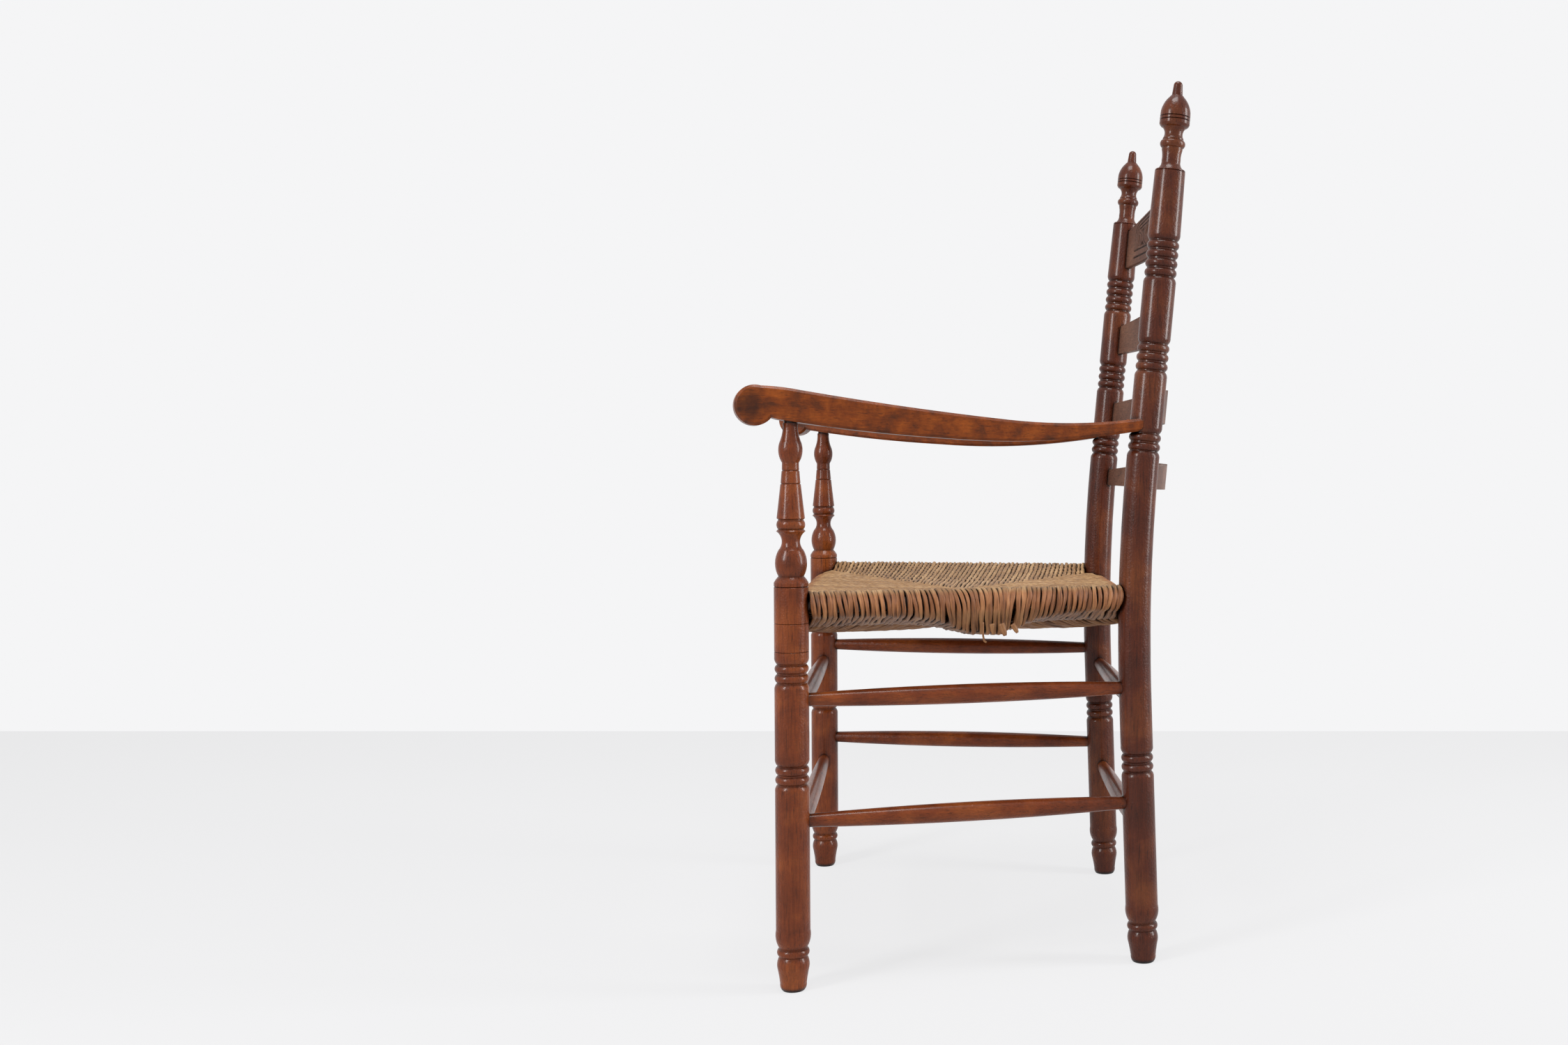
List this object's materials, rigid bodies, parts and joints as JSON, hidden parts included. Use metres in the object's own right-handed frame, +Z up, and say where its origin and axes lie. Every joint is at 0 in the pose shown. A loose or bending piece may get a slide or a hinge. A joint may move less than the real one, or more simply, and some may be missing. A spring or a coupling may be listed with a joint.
{
  "type": "ladder-back armchair",
  "caption": "Turned ladder-back armchair with bowed slats, ball-and-ring front posts, scrolled arms and a woven rush seat.",
  "frame": {"origin": "centre of the bounding box's footprint, on the floor", "axes": "+Z up, -Y the way the sitter faces, +X the sitter's left"},
  "size_m": [0.6166, 0.5621, 1.0789],
  "materials": {
    "turned_wood": "worn satin varnish",
    "slat_wood": "worn satin varnish",
    "arm_wood": "hand-worn satin varnish",
    "rush": "dry twisted rush"
  },
  "bodies": {
    "root": {"left_front_post": "turned_wood", "right_front_post": "turned_wood", "left_back_post": "turned_wood", "right_back_post": "turned_wood", "upper_left_rung": "turned_wood", "lower_left_rung": "turned_wood", "upper_right_rung": "turned_wood", "lower_right_rung": "turned_wood", "upper_front_rung": "turned_wood", "lower_front_rung": "turned_wood", "upper_back_rung": "turned_wood", "lower_back_rung": "turned_wood", "left_seat_rail": "turned_wood", "right_seat_rail": "turned_wood", "front_seat_rail": "turned_wood", "back_seat_rail": "turned_wood", "crest_slat": "slat_wood", "upper_slat": "slat_wood", "middle_slat": "slat_wood", "lower_slat": "slat_wood", "left_arm": "arm_wood", "right_arm": "arm_wood", "rush_seat": "rush"}
  },
  "joints": []
}
